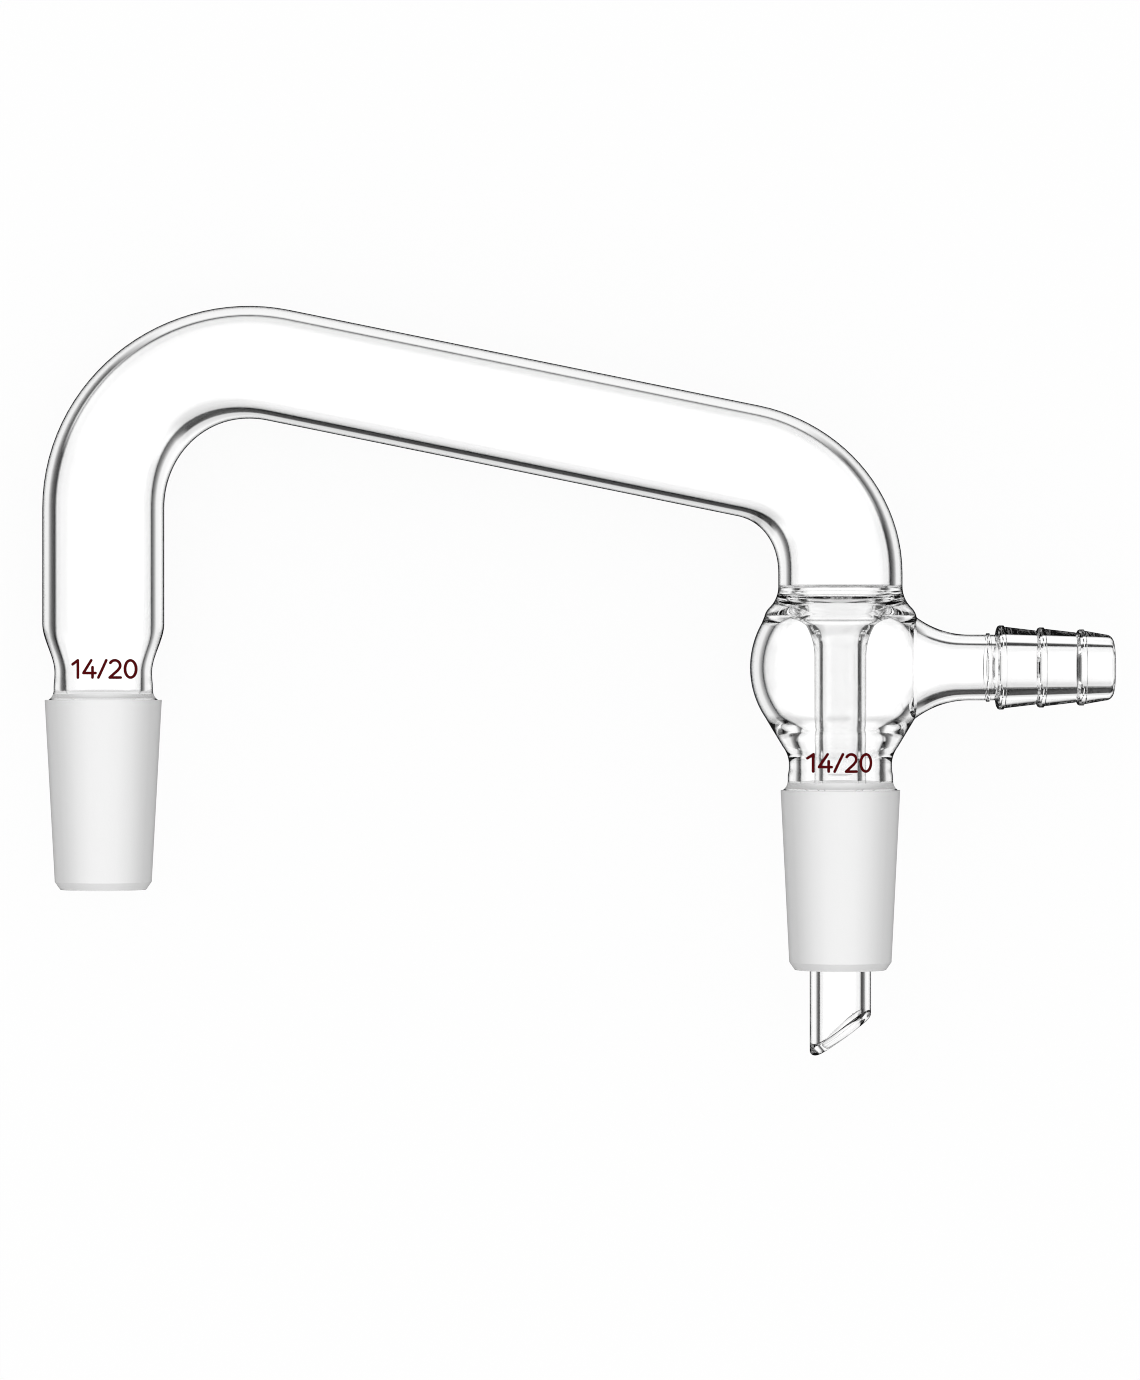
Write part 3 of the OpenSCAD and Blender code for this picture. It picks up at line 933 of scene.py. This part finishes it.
def fired_enamel(finishes):
    """Ceramic ink, screen printed and fired on: a deep matt maroon, a little uneven."""
    material, tree, output = new_material("Fired_enamel")
    place = add(tree, "ShaderNodeTexCoord").outputs["Object"]
    speckle = add(
        tree,
        "ShaderNodeTexNoise",
        {"Vector": place},
        inputs={"Scale": 1 / (0.4 * MM), "Detail": 2.0},
    )
    deep = [c * 0.7 for c in finishes.enamel]
    tone = add(
        tree,
        "ShaderNodeMix",
        {"Factor": speckle.outputs["Fac"]},
        data_type="RGBA",
        inputs={"A": (*deep, 1), "B": (*finishes.enamel, 1)},
    )
    shader = add(
        tree,
        "ShaderNodeBsdfPrincipled",
        {"Base Color": tone.outputs["Result"]},
        inputs={"Roughness": 0.7, "IOR": 1.5, "Specular IOR Level": 0.05},
    )
    tree.links.new(shader.outputs["BSDF"], output.inputs["Surface"])
    return material


# ---------------------------------------------------------------- stage


class SCENE_OT_set_glass_stage(bpy.types.Operator):
    """Set the pale table, the soft light round it and the camera above it"""

    bl_idname = "scene.set_glass_stage"
    bl_label = "Table, light and camera"

    def execute(self, context):
        s = in_mm(context.scene.adapter_sizes)
        self.table(context.scene.adapter_finishes)
        self.light(context.scene, levels(s).tilt)
        self.camera(context, s)
        context.scene.view_settings.view_transform = "Standard"
        cycles = context.scene.cycles
        cycles.max_bounces = cycles.transmission_bounces = 32
        cycles.glossy_bounces = 12
        cycles.filter_width = 1.0
        return {"FINISHED"}

    def table(self, finishes):
        nothing_selected()
        bpy.ops.mesh.primitive_plane_add(size=6, location=(0, 0, -0.02 * MM))
        bpy.ops.object.transform_apply()
        table = bpy.context.object
        table.name = "table"
        material, tree, output = new_material("Opal_acrylic_lit_from_below")
        glow = add(
            tree,
            "ShaderNodeEmission",
            inputs={"Color": (*finishes.floor, 1), "Strength": TABLE_LIGHT},
        )
        sheen = add(tree, "ShaderNodeBsdfDiffuse", inputs={"Color": (0.05, 0.05, 0.05, 1)})
        both = add(
            tree, "ShaderNodeAddShader", {0: glow.outputs["Emission"], 1: sheen.outputs["BSDF"]}
        )
        tree.links.new(both.outputs["Shader"], output.inputs["Surface"])
        table.data.materials.append(material)
        table.visible_transmission = False
        table.visible_glossy = False

    def light(self, scene, tilt):
        """Soft light all round, with a dark ring below the horizon that draws the glass's edges."""
        world = bpy.data.worlds.new("Light_tent")
        scene.world = world
        world.use_nodes = True
        tree = world.node_tree
        tree.nodes.clear()
        way = add(tree, "ShaderNodeTexCoord").outputs["Generated"]
        level = add(tree, "ShaderNodeMapping", {"Vector": way}, inputs={"Rotation": (0, tilt, 0)})
        parts = add(tree, "ShaderNodeSeparateXYZ", {"Vector": level.outputs["Vector"]}).outputs
        down = add(tree, "ShaderNodeMath", {0: parts["Z"]}, operation="MULTIPLY", inputs={1: -1.0})
        turn = add(tree, "ShaderNodeMath", {0: down.outputs[0]}, operation="ARCCOSINE")
        share = add(
            tree, "ShaderNodeMath", {0: turn.outputs[0]}, operation="DIVIDE", inputs={1: math.pi}
        )
        beside, corner, behind, ahead, mirrored = (
            add(
                tree,
                "ShaderNodeValToRGB",
                {"Fac": share.outputs[0]},
                stops=[(degrees / 180, [bright] * 3) for degrees, bright in tones],
            ).outputs["Color"]
            for tones in (BESIDE, CORNER, BEHIND, AHEAD, MIRRORED)
        )
        # the corners of the tent lie between its four sides, and the sides ahead and behind differ
        side = add(tree, "ShaderNodeMath", {0: parts["X"], 1: parts["Y"]}, operation="ARCTAN2")
        twice = add(
            tree, "ShaderNodeMath", {0: side.outputs[0]}, operation="MULTIPLY", inputs={1: 2.0}
        )
        wave = add(tree, "ShaderNodeMath", {0: twice.outputs[0]}, operation="SINE")
        diagonal = add(tree, "ShaderNodeMath", {0: wave.outputs[0]}, operation="ABSOLUTE")
        off = add(tree, "ShaderNodeMath", {0: side.outputs[0]}, operation="ABSOLUTE")
        tone = beside
        for measure, (start, full), first, last, other in (
            (diagonal, CORNER_AT, 0.0, 1.0, corner),
            (off, map(math.radians, BEHIND_AT), 0.0, 1.0, behind),
            (off, map(math.radians, AHEAD_AT), 1.0, 0.0, ahead),
        ):
            part = add(
                tree,
                "ShaderNodeMapRange",
                {"Value": measure.outputs[0]},
                inputs={"From Min": start, "From Max": full, "To Min": first, "To Max": last},
            )
            tone = add(
                tree,
                "ShaderNodeMix",
                {"Factor": part.outputs["Result"], "A": tone, "B": other},
                data_type="RGBA",
            ).outputs["Result"]
        # what the glass mirrors is darker than what is seen through it, and the rest is plain
        path = add(tree, "ShaderNodeLightPath").outputs
        outside = add(
            tree,
            "ShaderNodeMath",
            {0: path["Is Transmission Ray"]},
            operation="LESS_THAN",
            inputs={1: 0.5},
        )
        gloss = add(
            tree,
            "ShaderNodeMath",
            {0: outside.outputs[0], 1: path["Is Glossy Ray"]},
            operation="MULTIPLY",
        )
        shown = add(
            tree,
            "ShaderNodeMix",
            {"Factor": gloss.outputs[0], "A": tone, "B": mirrored},
            data_type="RGBA",
        )
        plain = add(
            tree,
            "ShaderNodeMath",
            {0: path["Is Diffuse Ray"], 1: path["Is Camera Ray"]},
            operation="MAXIMUM",
        )
        light = add(
            tree,
            "ShaderNodeMix",
            {"Factor": plain.outputs[0], "A": shown.outputs["Result"]},
            data_type="RGBA",
            inputs={"B": (PLAIN, PLAIN, PLAIN, 1)},
        )
        shine = add(
            tree,
            "ShaderNodeBackground",
            {"Color": light.outputs["Result"]},
            inputs={"Strength": TENT_LIGHT},
        )
        output = add(tree, "ShaderNodeOutputWorld")
        tree.links.new(shine.outputs["Background"], output.inputs["Surface"])

    def camera(self, context, s):
        """Straight above the lying glass, far enough to see it almost without perspective."""
        data = bpy.data.cameras.new("camera")
        data.lens = LENS
        data.sensor_width = 36
        data.clip_start, data.clip_end = 0.01, 10
        camera = bpy.data.objects.new("camera", data)
        context.collection.objects.link(camera)
        pose = laid_down(s) @ Matrix.Translation((SEEN[0], -AWAY, SEEN[1]))
        pose = pose @ Matrix.Rotation(math.radians(90), 4, "X")
        camera.location = pose.translation
        camera.rotation_euler = pose.to_euler()
        context.scene.camera = camera


# ---------------------------------------------------------------- panel and registering


class VIEW3D_PT_glassware(bpy.types.Panel):
    """Lists the steps that make the adapter, and its sizes"""

    bl_idname = "VIEW3D_PT_glassware"
    bl_label = "Vacuum take-off adapter"
    bl_space_type = "VIEW_3D"
    bl_region_type = "UI"
    bl_category = "Glassware"

    def draw(self, context):
        for step in STEPS:
            self.layout.operator(step.bl_idname)
        for group in ("adapter_sizes", "mark_sizes", "adapter_finishes"):
            box = self.layout.box()
            values = getattr(context.scene, group)
            for key in values.__annotations__:
                box.prop(values, key)


STEPS = (SCENE_OT_set_glass_stage, MESH_OT_blow_adapter_glass, MESH_OT_print_size_marks)
GROUPS = {"adapter_sizes": GlassSizes, "mark_sizes": MarkSizes, "adapter_finishes": Finishes}
CLASSES = (*GROUPS.values(), *STEPS, VIEW3D_PT_glassware)


def register():
    for cls in CLASSES:
        bpy.utils.register_class(cls)
    for name, group in GROUPS.items():
        setattr(bpy.types.Scene, name, bpy.props.PointerProperty(type=group))


def unregister():
    for name in GROUPS:
        delattr(bpy.types.Scene, name)
    for cls in reversed(CLASSES):
        bpy.utils.unregister_class(cls)


def main():
    register()
    bpy.ops.scene.set_glass_stage()
    bpy.ops.mesh.blow_adapter_glass()
    bpy.ops.mesh.print_size_marks()
    nothing_selected()


if __name__ == "__main__":
    main()
